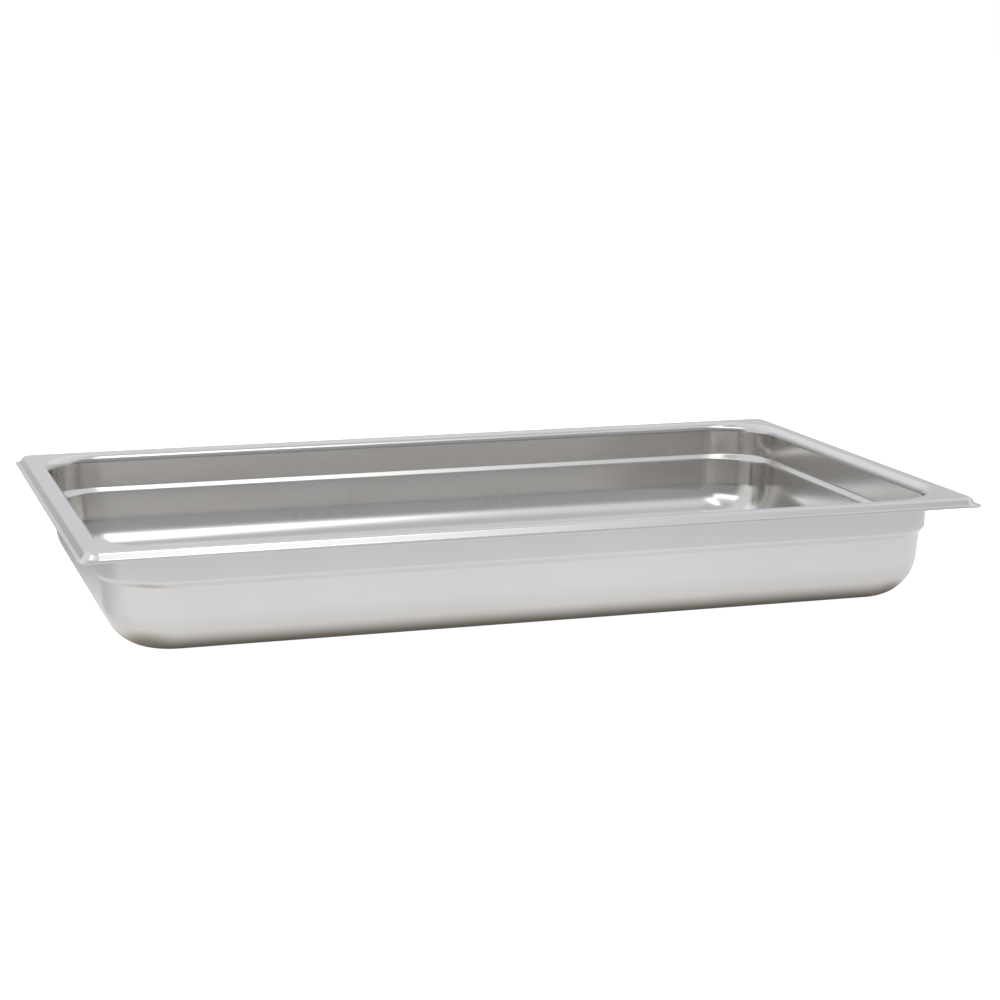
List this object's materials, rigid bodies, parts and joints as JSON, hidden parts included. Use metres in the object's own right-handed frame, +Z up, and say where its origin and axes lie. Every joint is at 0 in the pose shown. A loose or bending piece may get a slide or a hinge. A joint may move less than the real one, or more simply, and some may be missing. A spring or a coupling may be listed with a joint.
{
  "type": "food pan",
  "caption": "Shallow rectangular stainless steel food pan with rounded corners, a stacking shoulder and a flat flange whose lip turns down and flares.",
  "frame": {"origin": "centre of the underside of the floor", "axes": "+X along the long side, +Y across the pan, +Z up, out of the well"},
  "size_m": [0.53, 0.325, 0.065],
  "materials": {
    "stainless_steel": "satin stainless steel sheet, faint vertical draw marks on the walls"
  },
  "bodies": {
    "root": {"pan": "stainless_steel"}
  },
  "joints": []
}
